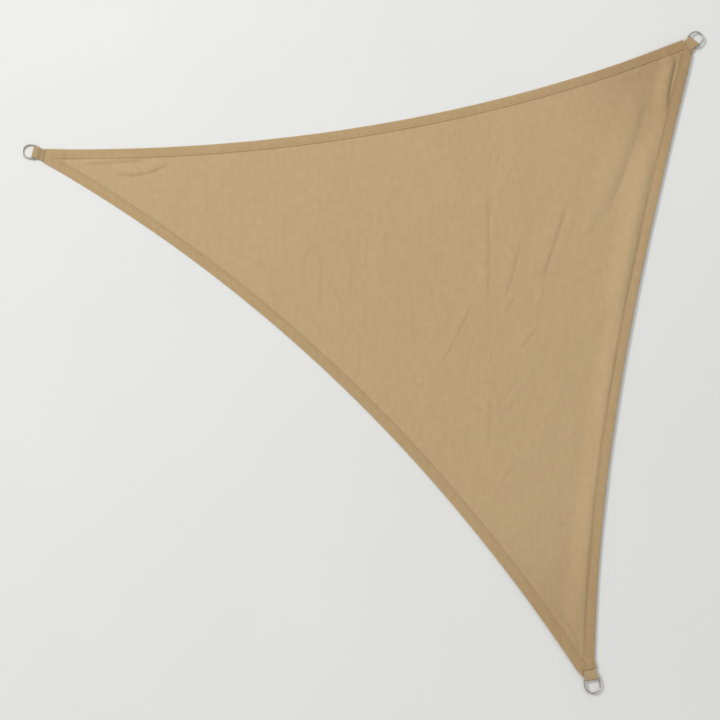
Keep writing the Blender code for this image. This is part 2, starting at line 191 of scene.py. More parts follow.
# Bartacks, where a strap's seam ends: dark spots painted on the cloth, partly a knot of thread sewn
# over and over, partly painted shade in the notch beside the webbing.
BARTACKS = ((-1.2992, 0.8030), (-1.3064, 0.7540), (1.3335, 1.2140))
# Painted shade that darkens the cloth toward these corners: each one's share, its reach and its
# fade.
CORNER_SHADE = (("right", 1.0), ("bottom", 0.65))
SHADE_REACH, SHADE_FADE = 0.62, 0.45

KEY_PLACE = (-13.1, 6.3, 10.6)
FILL_PLACE, FILL_SIZE = (-2.0, 5.0, 5.0), 5.0
CAMERA_PLACE, CAMERA_TARGET = (-0.0267, -0.918, 4.403), (-0.0267, -0.0622, 0)


def linear(colour):
    """Linear red, green, blue and a full alpha for an sRGB hex colour."""
    parts = [int(colour[i:i + 2], 16) / 255 for i in (0, 2, 4)]
    return [p / 12.92 if p <= 0.04045 else ((p + 0.055) / 1.055) ** 2.4 for p in parts] + [1.0]


def colour_property(name, description, default):
    return FloatVectorProperty(name=name, description=description, subtype="COLOR", size=4,
                               min=0, max=1, default=linear(default))


def length_property(name, description, default):
    return FloatProperty(name=name, description=description, unit="LENGTH", min=0, precision=5,
                         default=default)


class SailClothSettings(bpy.types.PropertyGroup):
    thickness: length_property("Cloth", "Thickness of the single cloth", 1.2 * MM)
    hem_width: length_property("Hem", "Width of the folded hems", 40 * MM)
    stitch_inset: length_property("Stitch line", "From the hem's inner edge to the seam", 7 * MM)
    spacing: length_property("Mesh spacing", "Distance between the cloth's points inside the hems",
                             10.5 * MM)
    rail_pitch: length_property("Hem spacing", "Distance between points along the hems", 8 * MM)
    crumple: FloatProperty(name="Crumple", description="Height of the crumples, 1 as modelled",
                           min=0, max=3, default=1.0)
    colour: colour_property("Cloth", "Colour of the woven cloth", "C3A980")
    slub_colour: colour_property("Slubs", "Colour of the thicker, darker yarns", "B69C73")
    hem_tint: colour_property("Hem tint", "What the hem multiplies the cloth's colour by", "F6F2EE")


class SailWebbingSettings(bpy.types.PropertyGroup):
    width: length_property("Width", "Width of the webbing", 48.4 * MM)
    thickness: length_property("Thickness", "Thickness of the webbing", 1.6 * MM)
    under: length_property("Sewn length", "Length of each leg under the cloth", 56 * MM)
    colour: colour_property("Webbing", "Colour of the webbing", "BA9F78")


class SailStitchSettings(bpy.types.PropertyGroup):
    pitch: length_property("Pitch", "Distance from stitch to stitch", 5 * MM)
    length: length_property("Length", "Length of one stitch on the surface", 4.2 * MM)
    width: length_property("Thread", "Thickness of the thread", 0.9 * MM)
    colour: colour_property("Thread", "Colour of the thread", "9C835C")


class SailRingSettings(bpy.types.PropertyGroup):
    wire: length_property("Wire", "Thickness of the ring's wire", 6 * MM)
    inside: length_property("Inside width", "Clear width inside the ring", 50.4 * MM)
    leg: length_property("Leg", "Distance from the bar to the centre of the arc", 25 * MM)
    bend: length_property("Bend", "Radius of the bends beside the bar", 4 * MM)
    sides: IntProperty(name="Sides", description="Flats round the wire", min=8, max=64, default=24)
    colour: colour_property("Steel", "Colour of the polished steel", "B4B1A9")


class SailStudioSettings(bpy.types.PropertyGroup):
    floor_size: length_property("Floor", "Side of the square floor", 60.0)
    floor_colour: colour_property("Floor", "Colour of the painted floor", "E9E9E7")
    world_colour: colour_property("Surroundings", "Colour of the light from all round", "F7F7F6")
    world_strength: FloatProperty(name="Surroundings", description="Strength of light all round",
                                  min=0, default=0.65)
    key_power: FloatProperty(name="Key light", description="Power of the large soft light",
                             unit="POWER", min=0, default=1380)
    key_size: length_property("Key size", "Side of the large soft light", 2.2)
    fill_power: FloatProperty(name="Fill light", description="Power of the soft light from the top",
                              unit="POWER", min=0, default=85)
    lens: FloatProperty(name="Lens", description="Focal length on a 36 mm sensor, in millimetres",
                        min=10, default=57.5)


class ShadeSailSettings(bpy.types.PropertyGroup):
    cloth: PointerProperty(type=SailClothSettings)
    webbing: PointerProperty(type=SailWebbingSettings)
    stitches: PointerProperty(type=SailStitchSettings)
    rings: PointerProperty(type=SailRingSettings)
    studio: PointerProperty(type=SailStudioSettings)


# Plan and heights. Points are rows of x and y.


def smooth(value):
    """0 to 1 with level ends, for values that run from 0 to 1."""
    value = np.clip(value, 0.0, 1.0)
    return value * value * (3 - 2 * value)


def heading_vector(degrees):
    return np.array((math.cos(math.radians(degrees)), math.sin(math.radians(degrees))))


def left_of(way):
    return np.array((-way[1], way[0]))


def edge_frame(edge):
    """Start, unit way along, unit way inwards and length of the chord; inwards is on its right."""
    start, end = np.array(edge.start), np.array(edge.end)
    length = np.linalg.norm(end - start)
    along = (end - start) / length
    return start, along, -left_of(along), length


def hollow(edge, t):
    """How far the edge lies inside its chord at the share t of its length."""
    return 4 * edge.sag * t * (1 - t) * (1 + edge.lean * (2 * t - 1))


def stretch(edge, t, length):
    """Length of the edge over that of its chord at t."""
    step = 0.001
    return np.hypot(1, (hollow(edge, t + step) - hollow(edge, t - step)) / (2 * step * length))


def edge_points(edge, t, inside):
    """Points at the shares t of the edge and this far inside it."""
    start, along, inwards, length = edge_frame(edge)
    out = hollow(edge, t) + inside * stretch(edge, t, length)
    return start + np.outer(t * length, along) + np.outer(out, inwards)


def share_and_depth(edge, points):
    start, along, inwards, length = edge_frame(edge)
    away = points - start
    t = away @ along / length
    return t, (away @ inwards - hollow(edge, t)) / stretch(edge, t, length)


def depth(points):
    """Distance in from the nearest edge."""
    return np.min([share_and_depth(edge, points)[1] for edge in EDGES.values()], axis=0)


def edge_lift(edge, points, hem_width):
    """Height of the cloth over the ground that the raised hem of one edge gives."""
    t, inside = share_and_depth(edge, points)
    lift = edge.lift_middle
    lift = lift + (edge.lift_start - edge.lift_middle) * smooth(1 - t / edge.run)
    lift = lift + (edge.lift_end - edge.lift_middle) * smooth(1 - (1 - t) / edge.run)
    return lift * smooth(1 - (inside - hem_width) / edge.slope)


def fold_frame(fold):
    """Start, unit way along and length of a fold's chord."""
    start, end = np.array((fold.x0, fold.y0)), np.array((fold.x1, fold.y1))
    length = np.linalg.norm(end - start)
    return start, (end - start) / length, length


def fold_height(fold, points):
    start, along, length = fold_frame(fold)
    t = (points - start) @ along / length
    from_foot = 4 * fold.bow * t * (1 - t) - (points - start) @ left_of(along)
    ends = smooth(t / FOLD_TAPER) * smooth((1 - t) / FOLD_TAPER)
    rise = 1 - (1 - np.clip(from_foot / fold.steep, 0, 1)) ** 2
    fall = 0.5 + 0.5 * np.cos(math.pi * np.clip((from_foot - fold.steep) / fold.gentle, 0, 1))
    dip = FOLD_DIP * np.exp(-(from_foot / (0.5 * fold.steep)) ** 2)
    return fold.height * ends * (rise * fall - dip)


def swell_height(swell, points):
    """Smooth random rise and fall, from cubic splines through a lattice of random heights."""
    reach = 1.8  # from the middle to the lattice's sides, well beyond the sail
    cells = np.array((2 * reach / swell.across, 2 * reach / swell.along)).astype(int) + 4
    lattice = np.random.default_rng(swell.seed).uniform(-1, 1, cells)
    place = (points + reach) / (swell.across, swell.along)
    corner = np.floor(place).astype(int)
    u = place - corner
    weights = [(1 - u) ** 3 / 6, (3 * u**3 - 6 * u**2 + 4) / 6,
               (-3 * u**3 + 3 * u**2 + 3 * u + 1) / 6, u**3 / 6]
    total = np.zeros(len(points))
    for i in range(4):
        for j in range(4):
            knots = lattice[corner[:, 0] + i, corner[:, 1] + j]
            total += weights[i][:, 0] * weights[j][:, 1] * knots
    return swell.height * total * 2


def web_lift(corner, along, under):
    """Height of the webbing's underside at this distance out from the cloth's end."""
    share = (along + under) / (corner.reach + under)
    return corner.lift_in + (corner.lift_out - corner.lift_in) * share


def web_place(corner, points):
    """Distances of points along and across the webbing, from where it leaves the cloth."""
    way = heading_vector(corner.heading)
    away = points - (corner.x, corner.y)
    return away @ way, away @ left_of(way)


def pad(corner, points, webbing):
    """Height of the cloth on the webbing, and how fully the webbing carries it here."""
    along, across = web_place(corner, points)
    level = web_lift(corner, along, webbing.under) + 2 * webbing.thickness + 2 * GAP
    wide = webbing.width / 2 + abs(corner.splay)
    out = np.hypot(np.maximum(-webbing.under - along, 0), np.maximum(np.abs(across) - wide, 0))
    return level, smooth(1 - (out - PAD_MARGIN) / PAD_FADE)


def underside(points, sail):
    """Height of the cloth's underside over the ground."""
    lifts = [edge_lift(edge, points, sail.cloth.hem_width) for edge in EDGES.values()]
    height = sum(lift**4 for lift in lifts) ** 0.25  # close to the highest of them
    height = height + sum(fold_height(fold, points) for fold in FOLDS + CREASES)
    inwards = smooth((depth(points) - sail.cloth.hem_width) / (40 * MM))
    swells = sum(swell_height(swell, points) for swell in SWELLS)
    swells *= SWELL_AT_HEM + (1 - SWELL_AT_HEM) * inwards
    height = np.maximum(height + (swells + SWELL_BASE) * sail.cloth.crumple, 0.0)
    for corner in CORNERS.values():
        level, share = pad(corner, points, sail.webbing)
        height = height + (level - height) * share
    return height


def clear_of(edge, points, inside):
    """1 clear of the hems that hide this edge's line, and 0 within this far of their edges."""
    shown = np.ones(len(points))
    for name in edge.under:
        shown *= smooth((share_and_depth(EDGES[name], points)[1] - inside) / (2 * MM) + 1)
    return shown


def spot(away, width):
    """1 at no distance, fading to nothing over about twice the width."""
    return np.exp(-(away / width) ** 2)


def hem_layers(points, sail):
    """Thickness the hems add, and the painted shade along their inner lines and at the corners."""
    cloth = sail.cloth
    added, seam = np.zeros(len(points)), np.zeros(len(points))
    depths, layers = np.transpose(HEM_SECTION) * MM
    pucker = swell_height(PUCKER, points)
    for edge in EDGES.values():
        t, inside = share_and_depth(edge, points)
        near = spot(inside - cloth.hem_width + cloth.stitch_inset, 9 * MM)
        layer = np.interp(inside, depths, layers, right=0) + pucker * near
        added = np.where(np.abs(layer) > np.abs(added), layer, added)
        show = edge.seam_middle + (edge.seam_start - edge.seam_middle) * smooth(1 - t / SEAM_RUN)
        show = show + (edge.seam_end - edge.seam_middle) * smooth(1 - (1 - t) / SEAM_RUN)
        # Painted shade beside the hem's folded inner edge, deepening the shadow its step casts.
        line = spot(inside - cloth.hem_width - 0.9 * MM, 1.2 * MM)
        seam = np.maximum(seam, line * show * clear_of(edge, points, cloth.hem_width))
    # Painted shade in the gaps where the cloth ends on the webbing.
    for a, b, strength in END_SEAM_SHADES:
        a, b = np.array(a), np.array(b)
        t = np.clip((points - a) @ (b - a) / ((b - a) @ (b - a)), 0, 1)
        away = np.linalg.norm(points - a - np.outer(t, b - a), axis=1)
        seam = np.maximum(seam, strength * spot(away, 2.6 * MM))
    # Bartacks: dark thread knots, with painted shade in the notch beside them.
    for knot in BARTACKS:
        seam = np.maximum(seam, spot(np.linalg.norm(points - knot, axis=1), 3.5 * MM))
    return added, seam


def corner_shade_share(points):
    """How fully painted shade darkens the cloth toward the right and bottom corners."""
    corner_shade = np.zeros(len(points))
    for name, share in CORNER_SHADE:
        away = np.linalg.norm(points - (CORNERS[name].x, CORNERS[name].y), axis=1)
        corner_shade = np.maximum(corner_shade, share * smooth((SHADE_REACH - away) / SHADE_FADE))
    return corner_shade


def top_height(points, sail):
    return underside(points, sail) + sail.cloth.thickness + hem_layers(points, sail)[0]


# Meshes


def new_mesh_object(name, points, faces, material, smooth_angle=None):
    data = bpy.data.meshes.new(name)
    data.from_pydata([tuple(point) for point in points], [],
                     [tuple(int(i) for i in face) for face in faces])
    if data.validate():
        raise RuntimeError(f"{name} had a broken face")
    data.materials.append(material)
    if smooth_angle is not None:
        data.shade_smooth()
        data.set_sharp_from_angle(angle=math.radians(smooth_angle))
    made = bpy.data.objects.new(name, data)
    bpy.context.scene.collection.objects.link(made)
    return made


def store_attribute(piece, name, values):
    layer = piece.data.attributes.new(name, "FLOAT", "POINT")
    layer.data.foreach_set("value", np.asarray(values, np.float32))


def rail(edge, inside, pitch):
    """Points along an edge at one depth."""
    steps = round(edge_frame(edge)[3] / pitch)
    return edge_points(edge, np.arange(1, steps) / steps, inside)


def cloth_outline(pitch):
    top, right, lower = EDGES.values()
    return np.concatenate([[top.start], rail(top, 0, pitch), [top.end],
                           [right.start], rail(right, 0, pitch), [right.end], BOTTOM_END,
                           [lower.start], rail(lower, 0, pitch), [lower.end]])


def is_inside(points, line):
    crossings = np.zeros(len(points), int)
    for a, b in zip(line, np.roll(line, -1, axis=0)):
        spans = (a[1] > points[:, 1]) != (b[1] > points[:, 1])
        if spans.any():
            x = a[0] + (b[0] - a[0]) * (points[spans, 1] - a[1]) / (b[1] - a[1])
            crossings[spans] += points[spans, 0] < x
    return crossings % 2 == 1


def cloth_plan(cloth):
    """The cloth in plan: points, and triangles that keep the outline and the hems' inner edges."""
    outline = cloth_outline(cloth.rail_pitch)
    points, joins = [outline], [(i, (i + 1) % len(outline)) for i in range(len(outline))]
    count = len(outline)
    hem = cloth.hem_width
    for inside in HEM_ROWS + [hem + row for row in INNER_ROWS]:
        for edge in EDGES.values():
            row = rail(edge, inside, cloth.rail_pitch)
            row = row[is_inside(row, outline) & (depth(row) > 0.6 * MM)]
            if abs(inside - hem) < MM:
                close = np.linalg.norm(np.diff(row, axis=0), axis=1) < 2 * cloth.rail_pitch
                joins += [(count + i, count + i + 1) for i in np.flatnonzero(close)]
            points.append(row)
            count += len(row)
    for fold in FOLDS + CREASES:
        start, along, length = fold_frame(fold)
        t = np.linspace(0, 1, int(length / cloth.rail_pitch) + 2)
        for share in FOLD_ROWS:
            out = 4 * fold.bow * t * (1 - t) - share * fold.steep
            row = start + np.outer(t * length, along) + np.outer(out, left_of(along))
            points.append(row[depth(row) > hem + 2 * MM])
    for a, b, _ in END_SEAM_SHADES:
        a, b = np.array(a), np.array(b)
        inwards = left_of((b - a) / np.linalg.norm(b - a))
        steps = np.linspace(0, 1, max(int(np.linalg.norm(b - a) / (4 * MM)), 3))[1:-1]
        for inside in (1.6 * MM, 3.2 * MM, 5 * MM):
            row = a + np.outer(steps, b - a)
            for row in (row + inwards * inside, row - inwards * inside):
                points.append(row[is_inside(row, outline) & (depth(row) > MM)])
    rows = np.arange(-1.35, 1.35, cloth.spacing * math.sqrt(0.75))
    grid = np.array([(x + 0.5 * cloth.spacing * (k % 2), y) for k, y in enumerate(rows)
                     for x in np.arange(-1.4, 1.4, cloth.spacing)])
    points.append(grid[depth(grid) > hem + INNER_ROWS[-1] + 0.6 * cloth.spacing])
    flat = [Vector(point) for point in np.concatenate(points)]
    made = delaunay_2d_cdt(flat, joins, [], 1, 0.02 * MM)
    corners = np.array([tuple(point) for point in made[0]])
    faces = np.array(made[2])
    faces = faces[is_inside(corners[faces].mean(axis=1), outline)]
    a, b, c = (corners[faces[:, k]] for k in range(3))
    turn = (b - a)[:, 0] * (c - a)[:, 1] - (b - a)[:, 1] * (c - a)[:, 0]
    faces[turn < 0] = faces[turn < 0][:, ::-1]
    faces = faces[np.abs(turn) > 1e-12]
    used, faces = np.unique(faces, return_inverse=True)
    return corners[used], faces.reshape(-1, 3)


def rim_of(faces):
    """Edges that only one face uses, in that face's direction."""
    ends = np.concatenate([faces[:, [0, 1]], faces[:, [1, 2]], faces[:, [2, 0]]])
    both = {tuple(pair) for pair in ends.tolist()}
    return [pair for pair in ends.tolist() if (pair[1], pair[0]) not in both]


def cloth_sheet(name, sail, material):
    """The cloth as one closed sheet, thicker along its hems."""
    plan, faces = cloth_plan(sail.cloth)
    low = underside(plan, sail)
    added, seam = hem_layers(plan, sail)
    top = np.column_stack([plan, low + sail.cloth.thickness + added])
    bottom = np.column_stack([plan, low])
    count = len(plan)
    walls = [(b, a, count + a, count + b) for a, b in rim_of(faces)]
    all_faces = list(faces) + list(faces[:, ::-1] + count) + walls
    sheet = new_mesh_object(name, np.concatenate([top, bottom]), all_faces, material, 40)
    hem = smooth(1 - (depth(plan) - sail.cloth.hem_width) / (0.8 * MM))
    store_attribute(sheet, "hem", np.tile(hem, 2))
    # Painted shade: along the seams, a third as strong underneath, and toward the right and bottom
    # corners.
    store_attribute(sheet, "seam", np.concatenate([seam, 0.3 * seam]))
    store_attribute(sheet, "corner_shade", np.tile(corner_shade_share(plan), 2))
    return sheet


def strip_faces(rows, columns, ring):
    """Quads between rows of points round a swept section; ring joins the last row to the first."""
    faces = []
    for i in range(rows if ring else rows - 1):
        first, second = i * columns, ((i + 1) % rows) * columns
        faces += [(first + k, second + k, second + (k + 1) % columns, first + (k + 1) % columns)
                  for k in range(columns)]
    return faces


# Webbing


def web_line(corner, webbing, wire):
    """Middle line of the loop's strip, as distance out and height over its underside."""
    half = webbing.thickness / 2
    eye = wire / 2 + GAP + half
    low, high, top = half, 3 * half + GAP, 2 * eye + half
    fold = corner.reach - eye - half
    rise_end = straight_length(corner, webbing, wire)
    rise_start = max(rise_end - LEG_RISE, LEG_LEVEL)
    rise = np.linspace(0, 1, 17)
    rising = np.column_stack([rise_start + (rise_end - rise_start) * rise,
                              high + (top - high) * smooth(rise)])
    turn = math.pi * (0.5 - np.linspace(0, 1, 25))
    return np.concatenate([
        [(x, high) for x in np.linspace(-webbing.under, rise_start - 2 * MM, 8)],
        rising,
        np.column_stack([fold + eye * np.cos(turn), eye + half + eye * np.sin(turn)]),
        [(x, low) for x in np.linspace(rise_end, -webbing.under, 14)],
    ])


def bar_behind(corner, webbing, wire):
    """Distance from the bar's middle to the outer end of the loop that holds it."""
    return webbing.thickness + GAP + wire / 2 + corner.slack


def straight_length(corner, webbing, wire):
    """Webbing that shows before the loop opens for the wire."""
    return corner.reach - bar_behind(corner, webbing, wire) - wire


def webbing_section(webbing):
    """Closed, round-edged section of the strip: distance across, and -1 to 1 through it."""
    half, round_off = webbing.width / 2, webbing.thickness / 2
    edge = [(math.sin(a) * round_off, math.cos(a)) for a in np.linspace(0, math.pi, 7)]
    flat = np.linspace(-1, 1, 13)[1:-1] * (half - round_off)
    right = [(half - round_off + x, y) for x, y in edge]
    left = [(-(half - round_off + x), -y) for x, y in edge]
    return [(x, 1) for x in flat] + right + [(x, -1) for x in flat[::-1]] + left


def webbing_loop(name, corner, sail, material):
    """Webbing folded round the ring's bar, its two legs sewn together under the cloth."""
    webbing, wire = sail.webbing, sail.rings.wire
    line = web_line(corner, webbing, wire)
    run = np.array([line[min(i + 1, len(line) - 1)] - line[max(i - 1, 0)]
                    for i in range(len(line))])
    run /= np.linalg.norm(run, axis=1)[:, None]
    out = np.column_stack([-run[:, 1], run[:, 0]])
    way = heading_vector(corner.heading)
    straight = straight_length(corner, webbing, wire)
    section = webbing_section(webbing)
    travelled = np.concatenate([[0], np.cumsum(np.linalg.norm(np.diff(line, axis=0), axis=1))])
    points, across_all, along_all = [], [], []
    for i, (along, height) in enumerate(line):
        side = heading_vector(corner.heading + corner.turn * smooth(along / straight) + 90)
        leg = 1 if i < len(line) / 2 else -1
        shift = leg * corner.splay * np.clip(1 - along / straight, 0, 1)
        lift = web_lift(corner, along, webbing.under) + height
        for across, through in section:
            out_by, up_by = through * out[i] * webbing.thickness / 2
            plan = (corner.x, corner.y) + way * (along + out_by) + side * (across + shift)
            points.append((plan[0], plan[1], lift + up_by))
            across_all.append(across)
            along_all.append(travelled[i])
    columns = len(section)
    faces = strip_faces(len(line), columns, False)
    faces = [tuple(reversed(face)) for face in faces]
    last = (len(line) - 1) * columns
    faces += [tuple(range(columns))[::-1], tuple(range(last, last + columns))]
    loop = new_mesh_object(name, points, faces, material, 50)
    store_attribute(loop, "web_across", across_all)
    store_attribute(loop, "web_along", along_all)
    return loop


# Rings


def ring_line(rings):
    """Middle line of a D-ring's wire, closed, with its bar at x = 0."""
    half = rings.inside / 2 + rings.wire / 2
    inner = half - rings.bend
    turn = np.linspace(math.pi / 2, 0, 9)
    bend = np.column_stack([rings.bend * (1 - np.sin(turn)), inner + rings.bend * np.cos(turn)])
    leg = [(x, half) for x in np.linspace(rings.bend, rings.leg, 6)[1:-1]]
    arc_turn = np.linspace(0, math.pi, 61)
    arc = np.column_stack([rings.leg + half * np.sin(arc_turn), half * np.cos(arc_turn)])
    back = [(x, -half) for x in np.linspace(rings.leg, rings.bend, 6)[1:-1]]
    bar = [(0, y) for y in np.linspace(-inner, inner, 12)[1:-1]]
    return np.concatenate([bend, leg, arc, back, bend[::-1] * (1, -1), bar])


def d_ring(name, corner, sail, material):
    """D-ring of round wire, with its bar in the webbing's fold."""
    rings = sail.rings
    line = ring_line(rings)
    around = np.linspace(0, 2 * math.pi, rings.sides, endpoint=False)
    run = np.roll(line, -1, axis=0) - np.roll(line, 1, axis=0)
    run /= np.linalg.norm(run, axis=1)[:, None]
    behind = bar_behind(corner, sail.webbing, rings.wire)
    way, ring_way = heading_vector(corner.heading), heading_vector(corner.heading + corner.turn)
    bar = (corner.x, corner.y) + way * (corner.reach - behind / 2) - ring_way * behind / 2
    lift = web_lift(corner, corner.reach - behind, sail.webbing.under)
    height = lift + sail.webbing.thickness + GAP + rings.wire / 2
    droop = math.radians(corner.droop)
    points = []
    for (x, y), (run_x, run_y) in zip(line, run):
        for turn in around:
            wide = rings.wire / 2 * math.cos(turn)
            local = np.array((x + run_y * wide, y - run_x * wide, rings.wire / 2 * math.sin(turn)))
            out = local[0] * math.cos(droop) + local[2] * math.sin(droop)
            rise = local[2] * math.cos(droop) - local[0] * math.sin(droop)
            plan = bar + ring_way * out + left_of(ring_way) * local[1]
            points.append((plan[0], plan[1], height + rise))
    faces = strip_faces(len(line), rings.sides, True)
    return new_mesh_object(name, points, faces, material, 60)


# Stitches


def along_line(line, pitch):
    """Middles of steps of one pitch along a line of points, and the way it runs there."""
    step = np.diff(line, axis=0)
    length = np.linalg.norm(step, axis=1)
    travelled = np.concatenate([[0], np.cumsum(length)])
    count = max(int(travelled[-1] / pitch), 1)
    at = (np.arange(count) + 0.5) * travelled[-1] / count
    which = np.clip(np.searchsorted(travelled, at) - 1, 0, len(step) - 1)
    share = (at - travelled[which]) / length[which]
    return line[which] + step[which] * share[:, None], step[which] / length[which][:, None]


def stitch_mesh(name, middles, ways, sail, material):
    """One raised, rounded stitch at each middle, lying on the cloth."""
    stitches = sail.stitches
    half, thick = stitches.length / 2, stitches.width / 2
    grip = 0.8  # share of its half length at which a stitch meets the cloth
    ends = [top_height(middles + ways * side * half * grip, sail) for side in (-1, 1)]
    # One stitch runs from -1 to 1, as three rings of six points between two tips.
    stations = ((-0.72, 0.62), (0, 1.0), (0.72, 0.62))
    around = np.linspace(0, 2 * math.pi, 6, endpoint=False)
    rings = [(x, r * math.cos(a), r * math.sin(a)) for x, r in stations for a in around]
    template = np.array([(-1, 0, 0)] + rings + [(1, 0, 0)])
    faces = [(0, 1 + k, 1 + (k + 1) % 6) for k in range(6)]
    faces += [(1 + 6 * i + k, 7 + 6 * i + k, 7 + 6 * i + (k + 1) % 6, 1 + 6 * i + (k + 1) % 6)
              for i in range(2) for k in range(6)]
    faces += [(13 + k, 19, 13 + (k + 1) % 6) for k in range(6)]
    side = np.column_stack([-ways[:, 1], ways[:, 0]])
    low = (ends[0] + ends[1]) / 2
    tilt = (ends[1] - ends[0]) / 2 / grip
    points, all_faces = [], []
    for i in range(len(middles)):
        plan = middles[i] + np.outer(template[:, 0] * half, ways[i])
        plan = plan + np.outer(template[:, 1] * thick, side[i])
        dip = 0.35 * thick * (1 - template[:, 0] ** 2)
        rise = low[i] + template[:, 0] * tilt[i] + template[:, 2] * thick * 0.7 + dip - 0.15 * thick
        points.append(np.column_stack([plan, rise]))
        all_faces += [tuple(len(template) * i + k for k in face) for face in faces]
    return new_mesh_object(name, np.concatenate(points), all_faces, material, 70)


def join_lines(lines, pitch):
    found = [along_line(np.array(line), pitch) for line in lines]
    return np.concatenate([f[0] for f in found]), np.concatenate([f[1] for f in found])


def hem_stitch_lines(sail):
    """One row along each hem, inside its outline."""
    inside = sail.cloth.hem_width - sail.cloth.stitch_inset
    outline = cloth_outline(20 * MM)
    for edge in EDGES.values():
        row = rail(edge, inside, 10 * MM)
        shown = is_inside(row, outline) & (depth(row) > 6 * MM)
        yield row[shown & (clear_of(edge, row, inside) > 0.5)]


def corner_stitch_lines(corner, webbing):
    """A box with a cross in it, where the cloth is sewn to the webbing."""
    way = heading_vector(corner.heading)
    side = left_of(way)
    middle = np.array((corner.x, corner.y))
    wide, near, far = webbing.width / 2 - 6 * MM, -7 * MM, -webbing.under + 8 * MM
    a, b = middle + way * near - side * wide, middle + way * near + side * wide
    c, d = middle + way * far + side * wide, middle + way * far - side * wide
    return [(a, b), (b, c), (c, d), (d, a), (a, c), (b, d)]


# Materials


def feed(tree, node, inputs):
    """Sets or links a node's inputs."""
    for name, value in inputs.items():
        if isinstance(value, bpy.types.NodeSocket):
            tree.links.new(value, node.inputs[name])
        else:
            node.inputs[name].default_value = value


def add_node(tree, kind, inputs=None, **settings):
    """Adds a node, sets its own settings, sets or links its inputs, and gives its outputs."""
    node = tree.nodes.new(f"ShaderNode{kind}")
    for name, value in settings.items():
        setattr(node, name, value)
    feed(tree, node, inputs or {})
    return node.outputs


def new_material(name):
    """A material with its own node tree, and the tree's shader."""
    material = bpy.data.materials.new(name)
    material.use_nodes = True
    return material, material.node_tree, material.node_tree.nodes["Principled BSDF"]


# A colour mix's sockets: several share a name, so they go by number.
MIX_SHARE, MIX_FROM, MIX_TO, MIX_RESULT = 0, 6, 7, 2


def grain(tree, place, sizes, detail):
    """Noise whose features have these sizes in metres along each way."""
    scale = tuple(1 / size for size in sizes)
    scaled = add_node(tree, "Mapping", {"Vector": place, "Scale": scale})["Vector"]
    return add_node(tree, "TexNoise", {"Vector": scaled, "Scale": 1.0, "Detail": detail})["Fac"]


def patches(tree, place, sizes, detail, low, high, most):
    """Patches of these sizes: 0 where their noise is at low, and most where it is at high."""
    limits = {"From Min": low, "From Max": high, "To Max": most}
    noise = grain(tree, place, sizes, detail)
    return add_node(tree, "MapRange", {"Value": noise, **limits})["Result"]


def uneven(tree, colour, place, sizes, dark, most):
    """The colour with patches that go up to most of the way to dark times as bright."""
    share = patches(tree, place, sizes, 2, 0.3, 0.7, most)
    darker = [part * dark for part in colour[:3]] + [1]
    ends = {MIX_SHARE: share, MIX_FROM: tuple(colour), MIX_TO: darker}
    return add_node(tree, "Mix", ends, data_type="RGBA")[MIX_RESULT]


def woven_surface(tree, across, along, size, relief):
    """Plain weave: yarns over and under each other, as the product of two waves one yarn apart."""
    waves = []
    for value in (across, along):
        turns = add_node(tree, "Math", {0: value, 1: math.pi / size}, operation="MULTIPLY")[0]
        waves.append(add_node(tree, "Math", {0: turns}, operation="SINE")[0])
    height = add_node(tree, "Math", dict(enumerate(waves)), operation="MULTIPLY")[0]
    return add_node(tree, "Bump", {"Height": height, "Distance": relief})["Normal"]


def woven_cloth(cloth):
    """Woven polyester, dyed in the yarn and sewn up dry: matt and even, with faint darker slubs
    along the warp, a slight sheen at a low angle, and hems a shade darker where it is doubled."""
    material, tree, shader = new_material("woven_polyester_cloth")
    place = add_node(tree, "TexCoord")["Object"]
    ways = add_node(tree, "SeparateXYZ", {"Vector": place})
    # A slub is about 1 mm thick and 60 mm long; it is drawn 5 mm thick so that it shows at all.
    warp = patches(tree, place, (5 * MM, 90 * MM, 1.0), 3, 0.35, 0.75, 0.6)
    weft = patches(tree, place, (80 * MM, 5 * MM, 1.0), 3, 0.4, 0.8, 0.35)
    faded = patches(tree, place, (0.16, 0.24, 1.0), 2, 0.3, 0.7, 0.5)
    mottle = patches(tree, place, (22 * MM, 34 * MM, 1.0), 3, 0.35, 0.7, 0.5)
    # Painted shade darkens the cloth toward the right and bottom corners, along the hems' inner
    # lines and where it ends on the webbing; a hem, doubling it, is a shade darker.
    corner_shade, hem, seam = (add_node(tree, "Attribute", attribute_name=name)["Fac"]
                       for name in ("corner_shade", "hem", "seam"))
    plain, slub = tuple(cloth.colour), tuple(cloth.slub_colour)
    colour = plain
    for blend, share, tint in (
            ("MIX", warp, slub), ("MIX", weft, slub), ("MIX", faded, plain), ("MIX", mottle, slub),
            # Painted shade toward the corners, the doubled hems' tone, and painted shade along the
            # seams.
            ("MULTIPLY", corner_shade, linear("EEEBE7")), ("MULTIPLY", hem, tuple(cloth.hem_tint)),
            ("MULTIPLY", seam, linear("6C6150"))):
        ends = {MIX_SHARE: share, MIX_FROM: colour, MIX_TO: tint}
        colour = add_node(tree, "Mix", ends, data_type="RGBA", blend_type=blend)[MIX_RESULT]
    # The yarns are about 0.5 mm apart; they are drawn 1.5 mm apart, as fine as a close view holds.
    weave = woven_surface(tree, ways["X"], ways["Y"], 1.5 * MM, 0.08 * MM)
    nap = add_node(tree, "Bump", {
        "Height": grain(tree, place, (7 * MM, 11 * MM, 9 * MM), 3), "Distance": 0.5 * MM,
        "Strength": 0.5, "Normal": weave})["Normal"]
    rough = add_node(tree, "MapRange", {"Value": warp, "To Min": 0.82, "To Max": 0.9})["Result"]
    feed(tree, shader, {"Base Color": colour, "Normal": nap, "Roughness": rough,
                        "Specular IOR Level": 0.25, "Sheen Weight": 0.12, "Sheen Roughness": 0.5})
    return material


